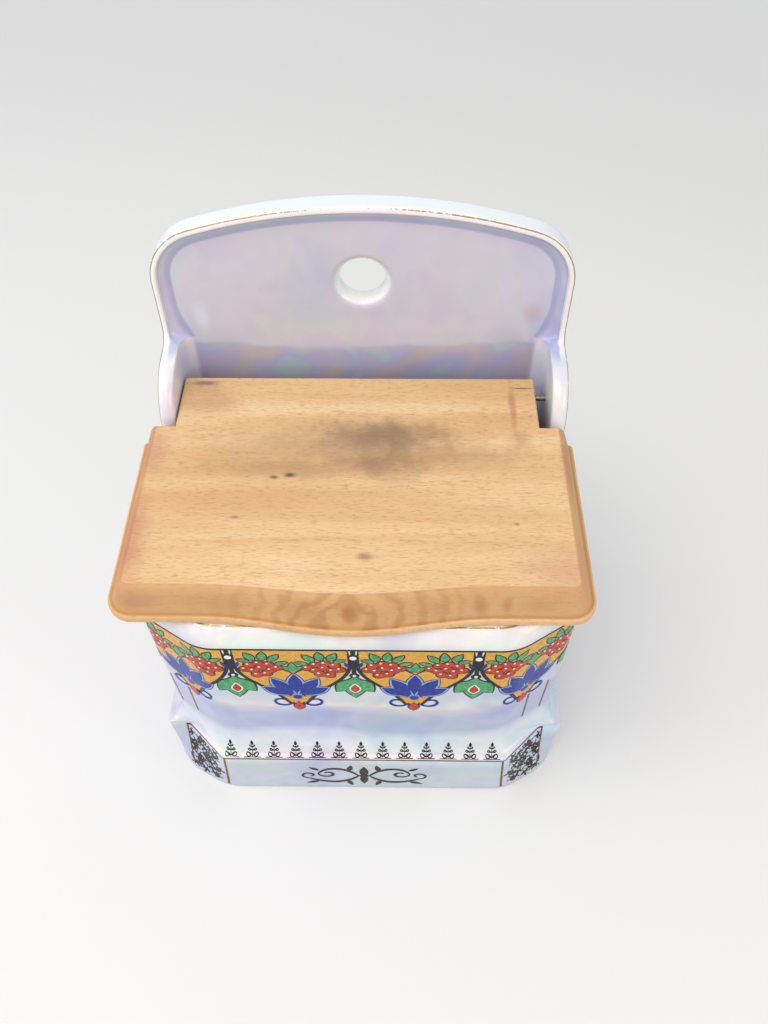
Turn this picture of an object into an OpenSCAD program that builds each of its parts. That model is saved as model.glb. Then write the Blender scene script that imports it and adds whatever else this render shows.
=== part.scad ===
// Salt box with a hinged lid: a slip-cast ceramic box that hangs on a wall, closed by a beech board.
// It stands on z = 0 with the origin under its middle, and the front faces -Y. Millimetres.
// The modules draw it with its back in the plane y = 0, and placed() moves it over the origin.

/* [Plinth] */
// Width of the plinth, the widest part of the casting
plinth_w = 147.2; // [140:0.2:170]
// Depth of the plinth from the back plane
plinth_d = 109.8; // [104:0.2:130]
// Height of the plinth's upright faces
plinth_h = 27; // [18:0.5:34]
// Width of the flat front panel of the plinth
plinth_flat = 102.8; // [80:0.2:110]
// Width and depth of the 45 degree cut beside the front panel, at the plinth's top edge
plinth_cant = 13.9; // [8:0.1:16]
// Distance of the splayed foot corner from the square corner, sideways
foot_cant_x = 6.6; // [3:0.1:9]
// Distance of the splayed foot corner from the square corner, from front to back
foot_cant_y = 7.2; // [3:0.1:10]
// Depth of the hollow under the foot
foot_recess = 1.8; // [1:0.1:3]
// Width of the ring that the foot stands on
foot_ring = 7; // [5:0.5:12]

/* [Well] */
// Outer width of the well, the cheeks and the back plate
well_w = 136.4; // [130:0.2:140]
// Depth of the well at its shoulder, its deepest part
well_d = 109.2; // [104:0.2:130]
// How much the front leans in from the shoulder down to the waist
front_lean = 3.3; // [0:0.1:6]
// Width of the flat front between the canted corners
front_flat = 96; // [70:0.5:104]
// How far back a canted corner meets the side
cant_back = 12.8; // [8:0.1:18]
// Height of the cove between plinth and waist
cove_h = 10; // [6:0.5:14]
// Height of the shoulder, where the front starts to round in
shoulder_h = 102; // [80:0.5:103]
// Height of the mouth rim
rim_h = 109.4; // [106:0.1:110]
// How far the front rounds in from the shoulder to the top of the rim
shoulder_in = 5.2; // [3:0.1:7]
// Thickness of the cast wall
wall = 5.2; // [4:0.1:6]
// Thickness of the floor over the hollow foot
floor_t = 5; // [4:0.1:8]

/* [Back plate] */
// Height of the whole box, to the top of the arch
box_h = 187.5; // [178:0.5:200]
// Radius of the arch
arch_r = 185; // [150:1:260]
// Radius of the two shoulders of the arch
arch_corner_r = 20; // [12:0.5:24]
// Thickness of the flat panel
panel_t = 6.2; // [5:0.1:7]
// Depth of the rim round the panel
rim_d = 9; // [8:0.1:10]
// Width of the cove between the rim's edge and the panel
cove_w = 6.5; // [4:0.1:9]
// Diameter of the hanging hole
hole_d = 15.4; // [10:0.2:18]
// Distance of the hanging hole below the top of the arch
hole_drop = 28.5; // [24:0.5:36]
// Radius of the flare at the front of the hanging hole
hole_flare = 3.2; // [2:0.1:4]

/* [Hinge] */
// Distance of the hinge axis from the back plane
pin_y = 17.9; // [17:0.1:22]
// Height of the hinge axis
pin_z = 119.7; // [118.5:0.1:121]
// Diameter of a hinge pin
pin_d = 2; // [1.6:0.1:2.4]
// Diameter of the hole for it in the cheek
pin_hole_d = 2.5; // [2.5:0.1:3.4]
// Length of a pin inside the wood
pin_grip = 13; // [8:0.5:20]
// Distance of a pin's outer end below the cheek's outer face
pin_sunk = 0.7; // [0.4:0.1:1.5]
// Radius of the cheek's rounded ear about the hinge axis
ear_r = 17; // [15:0.1:18]
// Radius of the hollow curve between the ear and the rim
ear_hollow_r = 6; // [4:0.5:9]

/* [Lid] */
// Thickness of the board
lid_t = 12; // [10.5:0.1:12.5]
// Depth of the hinge axis below the top of the board
lid_axis_drop = 5; // [4.5:0.1:6]
// Width of the board over its lip
lid_w = 146; // [142:0.5:156]
// Distance of the tongue's end behind the hinge axis
tongue_end = 4.5; // [4:0.1:6]
// Play between the tongue and one cheek when the lid is centred
tongue_play = 2.4; // [1.9:0.1:3]
// Where the loose lid sits sideways in its play
lid_shift = -1.8; // [-1.8:0.1:1.8]
// Gap between the ear and the shoulder of the board
ear_gap = 1.6; // [1:0.1:2.4]
// Overhang of the lip's straight ends past the rim's front edge
lip_reach = 1.4; // [0.8:0.1:4]
// How far the middle of the front bows out
front_bow = 4.4; // [0:0.1:6]
// Bow of the moulding's inner line
inner_bow = 3; // [0:0.1:4]
// Width of the moulding from its inner line to the lip's edge
mould_w = 6.5; // [5:0.1:8]
// Depth of the moulding from the board's top down to the lip
mould_h = 9; // [7:0.1:9.5]
// Width of the fillet step above the lip
fillet_w = 1.4; // [0.8:0.1:2]
// Radius of the lid's front corners
lid_corner_r = 8; // [6:0.5:12]
// Gap between the closed lid and the rim that it rests on
lid_rest_gap = 0.25; // [0.2:0.05:0.5]

/* [Hidden] */
overlap = 1;
curve_fn = 96;
soft_steps = 4;
arc_steps = 6;
well_x = well_w / 2;
plinth_x = plinth_w / 2;
cheek_x = well_x - wall;
floor_z = foot_recess + floor_t;
waist_z = plinth_h + cove_h;
edge_r = 1.2;
top_r = 0.8;
back_r = 2.4;
wall_y = plinth_d / 2;
hole_z = box_h - hole_drop;
tongue_x = cheek_x - tongue_play;
board_y = pin_y + ear_r + ear_gap;
rim_y = well_d - shoulder_in;
lip_y = well_d - shoulder_in + lip_reach;
lid_under = lid_t - lid_axis_drop;
// The lid leans down until its underside meets the front rim: an angle found from the pin, the rim and the drop.
rest_run = rim_y - pin_y;
rest_fall = pin_z - rim_h - lid_rest_gap;
lid_tilt = atan2(rest_fall, rest_run) - asin(lid_under / norm([rest_run, rest_fall]));

function unit(v) = v / norm(v);
function mix(a, b, k) = a + (b - a) * k;
function smooth(k) = let(c = min(1, max(0, k))) c * c * (3 - 2 * c);

// A corner p between a and b, softened into a parabola that starts t before it and ends t after it.
function soft_corner(a, p, b, t) =
    let(s = p + t * unit(a - p), e = p + t * unit(b - p))
    [for (i = [0:soft_steps]) let(u = i / soft_steps) (1 - u) ^ 2 * s + 2 * u * (1 - u) * p + u ^ 2 * e];

// A closed ring at height z from its four right-hand corners, back to front, and how soft each one is.
function ring(corners, soft, z) =
    let(path = concat([[0, corners[0].y]], corners, [[0, corners[3].y]]),
        half = [for (i = [1:4]) each soft_corner(path[i - 1], path[i], path[i + 1], soft[i - 1])],
        last = len(half) - 1)
    concat([for (p = half) [p.x, p.y, z]], [for (i = [last:-1:0]) [-half[i].x, half[i].y, z]]);

// The four corners of a level of the plinth: inset from the face, inset at the back, and blend from
// foot (0) to top edge (1).
function plinth_corners(inset, back, k) =
    let(x = plinth_x - inset, y = plinth_d - inset, flat_x = plinth_flat / 2)
    [[x, -back],
     [x, mix(-y + 2.2 * foot_cant_y, -plinth_d + plinth_cant, k)],
     [mix(x - foot_cant_x, flat_x + plinth_cant - inset, k),
      mix(-y + foot_cant_y, -plinth_d + plinth_cant, k)],
     [mix(flat_x + 1.6, flat_x, k), -y]];

// The four corners of a level of the well, for a front at depth d and a side at x.
function well_corners(x, back, d, flat_x) =
    let(side = [x, -d + cant_back * (x - flat_x) / (well_x - front_flat / 2)], front = [flat_x, -d])
    [[x, -back], side, mix(side, front, 0.4), front];

// Stacks rings into one closed skin.
module loft(rings) {
    n = len(rings[0]);
    top = len(rings) - 1;
    points = [for (r = rings) each r];
    sides = [for (k = [0:top - 1]) for (i = [0:n - 1])
        let(a = k * n + i, b = k * n + (i + 1) % n) each [[a, b + n, a + n], [a, b, b + n]]];
    caps = [[for (i = [n - 1:-1:0]) i], [for (i = [0:n - 1]) top * n + i]];
    polyhedron(points, concat(sides, caps), convexity = 10);
}

// The outside of the plinth and the well, from the hollow under the foot up to the shoulder.
function outer_rings() =
    let(foot_soft = [back_r, 5, 5, 5], top_soft = [back_r, 1, 1, 1], well_soft = [back_r, 4, 4, 5],
        flat_x = front_flat / 2, top_edge = plinth_corners(top_r, 0, 1))
    concat(
        [ring(plinth_corners(foot_ring + foot_recess, foot_ring + foot_recess, 0), foot_soft, foot_recess),
         ring(plinth_corners(foot_ring, foot_ring, 0), foot_soft, 0),
         ring(plinth_corners(edge_r, edge_r, 0), foot_soft, 0),
         ring(plinth_corners(0, 0, 0.05), foot_soft, edge_r),
         ring(plinth_corners(0, 0, 0.5), mix(foot_soft, top_soft, 0.5), plinth_h / 2),
         ring(plinth_corners(0, 0, 1), top_soft, plinth_h - top_r),
         ring(top_edge, top_soft, plinth_h)],
        [for (i = [1:arc_steps]) let(a = 90 * i / arc_steps, s = 1 - cos(a), k = sin(a))
            ring(mix(top_edge, well_corners(well_x, 0, well_d - front_lean, flat_x), k),
                 mix(top_soft, well_soft, k), plinth_h + cove_h * s)],
        [ring(well_corners(well_x, 0, well_d, flat_x), well_soft, shoulder_h)]);

// The rounded rim, from the shoulder over the top and into the mouth.
function rim_rings() =
    let(soft = [back_r, 4, 4, 5], flat_x = front_flat / 2, nose = wall / 2)
    concat(
        [for (i = [1:arc_steps]) let(a = 90 * i / arc_steps, s = 1 - cos(a))
            ring(well_corners(well_x - nose * s, nose * s, well_d - shoulder_in * s, flat_x - nose * s), soft,
                 mix(shoulder_h, rim_h, sin(a)))],
        [for (i = [1:3]) let(a = 30 * i, s = sin(a))
            ring(well_corners(well_x - nose * (1 + s), mix(nose, panel_t, s), rim_y - nose * s,
                              flat_x - nose * (1 + s)), soft, rim_h - nose * (1 - cos(a)))]);

// The inside of the well, which keeps the wall's thickness, down to its rounded floor.
function inner_rings() =
    let(soft = [6, 4, 4, 5], low_soft = [6, 6, 6, 6], flat_x = front_flat / 2 - wall, floor_r = 4)
    concat(
        [ring(well_corners(cheek_x, panel_t, well_d - wall, flat_x), soft, shoulder_h - 2),
         ring(well_corners(cheek_x, panel_t, well_d - front_lean - wall, flat_x), soft, waist_z + 1)],
        [for (i = [0:3]) let(a = 30 * i, s = floor_r * (1 - cos(a)))
            ring(well_corners(cheek_x - s, panel_t + s, well_d - front_lean - wall - s, flat_x - s), low_soft,
                 floor_z + floor_r * (1 - sin(a)))]);

module well() {
    loft(concat(outer_rings(), rim_rings(), inner_rings()));
}

// The upstand's outer edge, seen from the front as [x, z], from low on one side to the top of the arch.
arch_cz = box_h - arch_r;
corner_x = well_x - arch_corner_r;
corner_z = arch_cz + sqrt((arch_r - arch_corner_r) ^ 2 - corner_x ^ 2);
arch_angle = atan2(corner_x, corner_z - arch_cz);
upstand_z = shoulder_h - 6;
hollow_y = rim_d + ear_hollow_r;
hollow_z = pin_z + ear_r + ear_hollow_r + 0.2;
ear_top = 86;

// Stations up one side as [z, depth of the cheek there]: upright edge, ear, hollow and then the plain rim.
function cheek_stations() = concat(
    [[upstand_z, pin_y + ear_r], [rim_h, pin_y + ear_r], [pin_z, pin_y + ear_r]],
    [for (i = [1:9]) let(a = ear_top * i / 9) [pin_z + ear_r * sin(a), pin_y + ear_r * cos(a)]],
    [for (i = [1:7]) let(a = mix(ear_top, 0, i / 7))
        [hollow_z - ear_hollow_r * sin(a), hollow_y - ear_hollow_r * cos(a)]]);

// Stations of the whole right half as [edge point, inward direction, depth].
function half_stations() = concat(
    [for (s = cheek_stations()) [[well_x, s[0]], [-1, 0], s[1]]],
    [for (i = [0:5]) let(a = i * (90 - arch_angle) / 5)
        [[corner_x, corner_z] + arch_corner_r * [cos(a), sin(a)], -[cos(a), sin(a)], rim_d]],
    [for (i = [1:6]) let(a = mix(arch_angle, 0, i / 6))
        [[0, arch_cz] + arch_r * [sin(a), cos(a)], -[sin(a), cos(a)], rim_d]]);

// Section of rim or cheek as [distance in from the edge, distance forward], back to panel, for a depth d.
function edge_section(d) =
    let(k = smooth((d - rim_d) / wall), nose = mix(1.2, wall / 2, k), drop = mix(1, wall / 2, k),
        inner = mix(2, wall, k), inner_v = d - mix(0.3, wall / 2, k),
        cove_v = mix(inner_v - 0.1, panel_t + 6, k), cove_u = mix(cove_w, wall + 6, k))
    concat(
        soft_corner([rim_d, 0], [0, 0], [0, rim_d], back_r),
        [for (a = [0, 45, 90]) [nose * (1 - cos(a)), d - drop * (1 - sin(a))]],
        [for (a = [45, 90]) [nose + (inner - nose) * sin(a), inner_v + (d - inner_v) * cos(a)]],
        [for (a = [0, 22.5, 45, 67.5, 90])
            [inner + (cove_u - inner) * (1 - cos(a)), panel_t + (cove_v - panel_t) * (1 - sin(a))]]);

// The back plate with its rim and cheeks: the section swept round the edge, closed by flat back and panel.
module upstand() {
    half = half_stations();
    count = len(half);
    mirrored = [for (i = [count - 2:-1:0]) [[-half[i][0].x, half[i][0].y], [-half[i][1].x, half[i][1].y], half[i][2]]];
    stations = concat(half, mirrored);
    n = len(edge_section(rim_d));
    last = len(stations) - 1;
    points = [for (s = stations) each [for (q = edge_section(s[2]))
        let(p = s[0] + s[1] * q[0]) [p.x, -q[1], p.y]]];
    strips = [for (k = [0:last - 1]) for (j = [0:n - 2])
        let(a = k * n + j, b = a + n) each [[a, a + 1, b + 1], [a, b + 1, b]]];
    back = [for (k = [0:last]) k * n];
    panel = [for (k = [last:-1:0]) k * n + n - 1];
    base = concat([for (j = [n - 1:-1:0]) j], [for (j = [0:n - 1]) last * n + j]);
    polyhedron(points, concat(strips, [back, panel, base]), convexity = 10);
}

// The hanging hole: a true bore with a flared front edge.
module hanging_hole() {
    translate([0, 0, hole_z]) rotate([90, 0, 0]) {
        translate([0, 0, -overlap]) cylinder(h = rim_d + 2 * overlap, d = hole_d, $fn = curve_fn);
        translate([0, 0, panel_t - hole_flare]) rotate_extrude($fn = curve_fn) difference() {
            square([hole_d / 2 + hole_flare, hole_flare + overlap]);
            translate([hole_d / 2 + hole_flare, 0]) circle(hole_flare, $fn = curve_fn);
        }
    }
}

module placed() {
    translate([0, wall_y, 0]) children();
}

module body() {
    color("lavender") placed() difference() {
        // A resize by nothing, so that the two skins become one.
        resize([0, 0, 0]) union() {
            well();
            upstand();
        }
        hanging_hole();
        for (side = [-1, 1]) translate([side * (cheek_x + wall / 2), -pin_y, pin_z]) rotate([0, 90, 0])
            cylinder(h = wall + 2 * overlap, d = pin_hole_d, center = true, $fn = curve_fn);
    }
}

// The board in its own place: the hinge axis is the origin, the top face is level and the front faces -Y.
board_x = lid_w / 2;
board_front = (lip_y - pin_y) / cos(lid_tilt);
board_rear = ear_r + ear_gap;
bow_x = 44;
front_steps = 8;

// How far the front bows out at x, for a bow b in the middle.
function bow_at(x, b) = abs(x) < bow_x ? b * cos(90 * x / bow_x) ^ 2 : 0;

// A ring of the board, inset from the lip at the sides and the front, at height z.
function board_ring(inset, bow, z) =
    let(x = board_x - inset, y = board_front - inset, r = max(0.5, lid_corner_r - inset),
        half = concat(
            [[x, -board_rear]],
            [for (i = [0:arc_steps]) let(a = 90 * i / arc_steps) [x - r + r * cos(a), -(y - r + r * sin(a))]],
            [for (i = [1:front_steps]) let(px = (x - r) * (1 - i / front_steps)) [px, -(y + bow_at(px, bow))]]),
        last = len(half) - 1)
    concat([for (p = half) [p.x, p.y, z]], [for (i = [last - 1:-1:0]) [-half[i].x, half[i].y, z]]);

// The moulding's curve, from its inner line at u = 0 to the fillet step at u = 1, as [inset, depth].
function mould_curve(u) =
    (1 - u) ^ 3 * [mould_w, 0] + 3 * (1 - u) ^ 2 * u * [0.55 * mould_w, 0]
    + 3 * (1 - u) * u ^ 2 * [0.52 * mould_w, 0.6 * mould_h] + u ^ 3 * [fillet_w, mould_h];

module moulded_board() {
    top = lid_axis_drop;
    lip_t = lid_t - mould_h;
    lip_r = min(0.9, lip_t / 3);
    loft(concat(
        [board_ring(lip_r, front_bow, -lid_under), board_ring(0.25 * lip_r, front_bow, -lid_under + 0.3 * lip_r),
         board_ring(0, front_bow, -lid_under + lip_r),
         board_ring(0, front_bow, top - mould_h - lip_r),
         board_ring(0.25 * lip_r, front_bow, top - mould_h - 0.3 * lip_r),
         board_ring(lip_r, front_bow, top - mould_h)],
        [for (i = [8:-1:0]) let(u = i / 8, q = mould_curve(u))
            board_ring(q[0], mix(inner_bow, front_bow, u), top - q[1])]));
}

module tongue() {
    translate([-tongue_x, -board_rear - overlap, -lid_under])
        cube([2 * tongue_x, board_rear + overlap + tongue_end, lid_t]);
}

module lid() {
    color("burlywood") placed() translate([lid_shift, -pin_y, pin_z]) rotate([lid_tilt, 0, 0]) difference() {
        resize([0, 0, 0]) union() {
            moulded_board();
            tongue();
        }
        for (side = [-1, 1]) translate([side * tongue_x, 0, 0]) rotate([0, 90, 0])
            cylinder(h = 2 * (pin_grip + pin_clear), d = pin_d, center = true, $fn = curve_fn);
    }
}

// A headless wire pin, from below the cheek's outer face into the end of the tongue, with a blunt point inside.
pin_clear = 0.3;
pin_point = 2.5;
pin_edge = 0.2;

module hinge_pin(side) {
    inner = tongue_x + side * lid_shift - pin_grip;
    outer = well_x - pin_sunk;
    color("silver") placed() translate([side * inner, -pin_y, pin_z]) rotate([0, side * 90, 0]) rotate_extrude($fn = curve_fn)
        polygon([[0, 0], [0.35 * pin_d, 0], [pin_d / 2, pin_point], [pin_d / 2, outer - inner - pin_edge],
                 [pin_d / 2 - pin_edge, outer - inner], [0, outer - inner]]);
}

body();
lid();
hinge_pin(-1);  // hinge_pin_left
hinge_pin(1);  // hinge_pin_right
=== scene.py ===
import math
from bisect import bisect_right

import bmesh
import bpy
from mathutils import Matrix, Vector
from mathutils.bvhtree import BVHTree


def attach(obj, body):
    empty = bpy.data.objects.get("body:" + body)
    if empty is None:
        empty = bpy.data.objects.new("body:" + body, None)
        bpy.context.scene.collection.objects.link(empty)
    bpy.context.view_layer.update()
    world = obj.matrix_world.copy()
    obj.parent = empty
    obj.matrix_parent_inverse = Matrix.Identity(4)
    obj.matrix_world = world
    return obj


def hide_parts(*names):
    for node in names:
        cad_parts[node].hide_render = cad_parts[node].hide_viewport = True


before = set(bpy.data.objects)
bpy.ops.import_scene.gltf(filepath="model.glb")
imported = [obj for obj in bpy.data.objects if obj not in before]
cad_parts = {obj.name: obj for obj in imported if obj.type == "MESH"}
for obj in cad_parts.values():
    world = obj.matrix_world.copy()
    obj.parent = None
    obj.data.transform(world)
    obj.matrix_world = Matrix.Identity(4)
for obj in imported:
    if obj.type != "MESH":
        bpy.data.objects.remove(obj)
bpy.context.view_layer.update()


# Casting
# The box itself: earthenware slip cast in a plaster mould as a well on a plinth, with an arched back plate
# and two cheeks for the lid. Glazed white, then fired again with a thin mother-of-pearl lustre.
# Lengths are in millimetres and the casting is drawn with its back in the plane y = 0.
MM = 0.001
PLINTH_X, PLINTH_D, PLINTH_H, PLINTH_FLAT, PLINTH_CANT = 73.6, 109.8, 27, 51.4, 13.9
FOOT_CANT = (6.6, 7.2)
FOOT_FLAT, FOOT_SIDE_CANT = PLINTH_FLAT + 1.6, 2.2 * FOOT_CANT[1]
FOOT_RECESS, FOOT_RING, FLOOR_Z, FLOOR_R = 1.8, 7, 6.8, 4
FOOT_EDGE, FOOT_EDGE_MID, TOP_EDGE, TOP_EDGE_MID, BACK_EDGE = 1.2, 0.35, 0.8, 0.24, 2.4
WELL_X, WELL_D, WELL_FLAT, WELL_CANT, FRONT_LEAN, WALL = 68.2, 109.2, 48, 12.8, 3.3, 5.2
NOSE = WALL / 2
COVE_H, SHOULDER_Z, RIM_Z, SHOULDER_IN = 10, 102, 109.4, 5.2
BOX_H, ARCH_R, ARCH_CORNER_R, PANEL_T, RIM_D, COVE_W = 187.5, 185, 20, 6.2, 9, 6.5
HOLE_Z, HOLE_R, HOLE_FLARE = 159, 7.7, 3.2
PIN_Y, PIN_Z, PIN_HOLE_R, EAR_R, EAR_HOLLOW_R = 17.9, 119.7, 1.25, 17, 6
CHEEK_X = WELL_X - WALL
SHIFT_Y = PLINTH_D / 2
ROUND_STEPS = 10


def mix(a, b, k):
    return a + (b - a) * k


def mix_corners(one, other, k):
    return [mix(a, b, k) for a, b in zip(one, other)]


def soft_corner(before, corner, after, run, steps=ROUND_STEPS):
    """A corner softened into a parabola, as a plaster mould's worn edge leaves it."""
    start = corner + run * (before - corner).normalized()
    end = corner + run * (after - corner).normalized()
    shares = [i / steps for i in range(steps + 1)]
    return [(1 - k) ** 2 * start + 2 * k * (1 - k) * corner + k**2 * end for k in shares]


def level(corners, soft, z):
    """One level of the casting: its outline from the middle of the back round to the front and back again."""
    path = [Vector((0, corners[0].y)), *corners, Vector((0, corners[3].y))]
    half = []
    for i in range(1, 5):
        half += soft_corner(path[i - 1], path[i], path[i + 1], soft[i - 1])
    right = [Vector((p.x, p.y, z)) for p in half]
    return right + [Vector((-p.x, p.y, z)) for p in reversed(half)]


def plinth_corners(inset, back, k):
    """The plinth's outline, from the foot's corners at k = 0 to the longer cants of its top at k = 1."""
    x, y = PLINTH_X - inset, PLINTH_D - inset
    cant_y = -PLINTH_D + PLINTH_CANT
    cant_x = mix(x - FOOT_CANT[0], PLINTH_FLAT + PLINTH_CANT - inset, k)
    return [
        Vector((x, -back)),
        Vector((x, mix(-y + FOOT_SIDE_CANT, cant_y, k))),
        Vector((cant_x, mix(-y + FOOT_CANT[1], cant_y, k))),
        Vector((mix(FOOT_FLAT, PLINTH_FLAT, k), -y)),
    ]


def well_corners(x, back, depth, flat):
    """The well's outline; its third point lies along the cant, to pair with the plinth's extra corner."""
    side = Vector((x, -depth + WELL_CANT * (x - flat) / (WELL_X - WELL_FLAT)))
    front = Vector((flat, -depth))
    return [Vector((x, -back)), side, mix(side, front, 0.4), front]


def quarter(steps):
    """Sine and one minus cosine of the angles of a quarter turn, without its start."""
    angles = [math.radians(90 * i / steps) for i in range(1, steps + 1)]
    return [(math.sin(a), 1 - math.cos(a)) for a in angles]


def rim_level(s, c):
    """A level of the shoulder that rounds in to the rim, by the sine and one minus cosine of its angle."""
    corners = well_corners(WELL_X - NOSE * c, NOSE * c, WELL_D - SHOULDER_IN * c, WELL_FLAT - NOSE * c)
    return level(corners, well_soft, mix(SHOULDER_Z, RIM_Z, s))


# How far each corner is softened, from the back corner to the front one.
foot_soft, top_soft, well_soft = [BACK_EDGE, 5, 5, 5], [BACK_EDGE, 1, 1, 1], [BACK_EDGE, 4, 4, 5]
inner_soft, floor_soft = [6, 4, 4, 5], [6, 6, 6, 6]
plinth_top = plinth_corners(TOP_EDGE, 0, 1)
waist = well_corners(WELL_X, 0, WELL_D - FRONT_LEAN, WELL_FLAT)
recess = FOOT_RING + FOOT_RECESS
outside = [
    level(plinth_corners(recess, recess, 0), foot_soft, FOOT_RECESS),
    level(plinth_corners(FOOT_RING, FOOT_RING, 0), foot_soft, 0),
    level(plinth_corners(FOOT_EDGE, FOOT_EDGE, 0), foot_soft, 0),
    level(plinth_corners(FOOT_EDGE_MID, FOOT_EDGE_MID, 0.03), foot_soft, FOOT_EDGE_MID),
]
for i in range(13):
    k = mix(0.05, 1, i / 12)
    z = mix(FOOT_EDGE, PLINTH_H - TOP_EDGE, i / 12)
    outside.append(level(plinth_corners(0, 0, k), mix_corners(foot_soft, top_soft, k), z))
outside.append(level(plinth_corners(TOP_EDGE_MID, 0, 1), top_soft, PLINTH_H - TOP_EDGE_MID))
outside.append(level(plinth_top, top_soft, PLINTH_H))
for s, c in quarter(12):
    corners, soft = mix_corners(plinth_top, waist, s), mix_corners(top_soft, well_soft, s)
    outside.append(level(corners, soft, PLINTH_H + COVE_H * c))
for i in range(1, 5):
    corners = well_corners(WELL_X, 0, WELL_D - mix(FRONT_LEAN, 0, i / 4), WELL_FLAT)
    outside.append(level(corners, well_soft, mix(PLINTH_H + COVE_H, SHOULDER_Z, i / 4)))
rim = [rim_level(s, c) for s, c in quarter(12)]
for s, c in quarter(6):
    x, flat = WELL_X - NOSE * (1 + s), WELL_FLAT - NOSE * (1 + s)
    corners = well_corners(x, mix(NOSE, PANEL_T, s), WELL_D - SHOULDER_IN - NOSE * s, flat)
    rim.append(level(corners, well_soft, RIM_Z - NOSE * c))
inner_flat, inner_d = WELL_FLAT - WALL, WELL_D - FRONT_LEAN - WALL
inside = [
    level(well_corners(CHEEK_X, PANEL_T, WELL_D - WALL, inner_flat), inner_soft, SHOULDER_Z - 2),
    level(well_corners(CHEEK_X, PANEL_T, inner_d, inner_flat), inner_soft, PLINTH_H + COVE_H + 1),
]
for s, c in [(0, 0), *quarter(6)]:
    inset = FLOOR_R * c
    corners = well_corners(CHEEK_X - inset, PANEL_T + inset, inner_d - inset, inner_flat - inset)
    inside.append(level(corners, floor_soft, FLOOR_Z + FLOOR_R * (1 - s)))


def placed(point):
    """From the casting's own millimetres to the frame."""
    return Vector((point.x, point.y + SHIFT_Y, point.z)) * MM


def put(name, data):
    """A new object in the scene."""
    made = bpy.data.objects.new(name, data)
    bpy.context.scene.collection.objects.link(made)
    return made


def evaluated(piece):
    """A piece's mesh as its modifiers leave it."""
    return bpy.data.meshes.new_from_object(piece.evaluated_get(bpy.context.evaluated_depsgraph_get()))


def skin(name, rows, closed=True):
    """A closed mesh through rows of points: rings when closed, or strips whose open ends are filled."""
    mesh = bpy.data.meshes.new(name)
    n = len(rows[0])
    faces = []
    for k in range(len(rows) - 1):
        for i in range(n if closed else n - 1):
            j = (i + 1) % n
            faces.append((k * n + i, k * n + j, (k + 1) * n + j, (k + 1) * n + i))
    last = (len(rows) - 1) * n
    first_end, last_end = tuple(range(n))[::-1], tuple(last + i for i in range(n))
    if closed:
        faces += [first_end, last_end]
    else:
        sides = [tuple(k * n + edge for k in range(len(rows))) for edge in (0, n - 1)]
        faces += [sides[0], sides[1][::-1], first_end + last_end]
    mesh.from_pydata([placed(p) for row in rows for p in row], [], faces)
    shaped = bmesh.new()
    shaped.from_mesh(mesh)
    bmesh.ops.recalc_face_normals(shaped, faces=shaped.faces)
    shaped.to_mesh(mesh)
    shaped.free()
    return put(name, mesh)


well = skin("well", outside + rim + inside)

ARCH_Z = BOX_H - ARCH_R
CORNER_X = WELL_X - ARCH_CORNER_R
CORNER_Z = ARCH_Z + math.sqrt((ARCH_R - ARCH_CORNER_R) ** 2 - CORNER_X**2)
arch_angle = math.atan2(CORNER_X, CORNER_Z - ARCH_Z)
HOLLOW_Y = RIM_D + EAR_HOLLOW_R
HOLLOW_Z = PIN_Z + EAR_R + EAR_HOLLOW_R + 0.2
EAR_TOP = math.radians(86)


def edge_stations():
    """Places along the right half of the upstand's edge: point, direction inwards, and the edge's depth."""
    found = [((WELL_X, z), (-1, 0), PIN_Y + EAR_R) for z in (SHOULDER_Z - 6, RIM_Z, 114, PIN_Z)]
    for i in range(1, 25):
        a = EAR_TOP * i / 24
        found.append(((WELL_X, PIN_Z + EAR_R * math.sin(a)), (-1, 0), PIN_Y + EAR_R * math.cos(a)))
    for i in range(13):
        a = EAR_TOP * (1 - i / 12)
        z, depth = HOLLOW_Z - EAR_HOLLOW_R * math.sin(a), HOLLOW_Y - EAR_HOLLOW_R * math.cos(a)
        found.append(((WELL_X, z), (-1, 0), depth))
    for i in range(1, 5):
        found.append(((WELL_X, mix(HOLLOW_Z, CORNER_Z, i / 5)), (-1, 0), RIM_D))
    for i in range(16):
        a = (math.pi / 2 - arch_angle) * i / 15
        x, z = math.cos(a), math.sin(a)
        found.append(((CORNER_X + ARCH_CORNER_R * x, CORNER_Z + ARCH_CORNER_R * z), (-x, -z), RIM_D))
    for i in range(1, 21):
        a = arch_angle * (1 - i / 20)
        x, z = math.sin(a), math.cos(a)
        found.append(((ARCH_R * x, ARCH_Z + ARCH_R * z), (-x, -z), RIM_D))
    return found


def eased(k):
    """A share held between 0 and 1, and smooth at both ends."""
    k = min(1, max(0, k))
    return k * k * (3 - 2 * k)


# The rim's rounding in front: width and depth of its outer part, then of its inner part.
RIM_OUT_U, RIM_OUT_V, RIM_IN_U, RIM_IN_V = 1.2, 1, 2, 0.3
# Over these heights the cove's foot draws in above the cheek, so that it runs out over the cheek softly.
COVE_BLEND_TOP, COVE_BLEND_END, COVE_RUN = 151, 132, 6


def front_edge(depth):
    """How much an edge of some depth is a cheek and not the rim, and its rounding inwards and backwards."""
    k = eased((depth - RIM_D) / WALL)
    return k, mix(RIM_OUT_U, NOSE, k), mix(RIM_OUT_V, NOSE, k)


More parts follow.
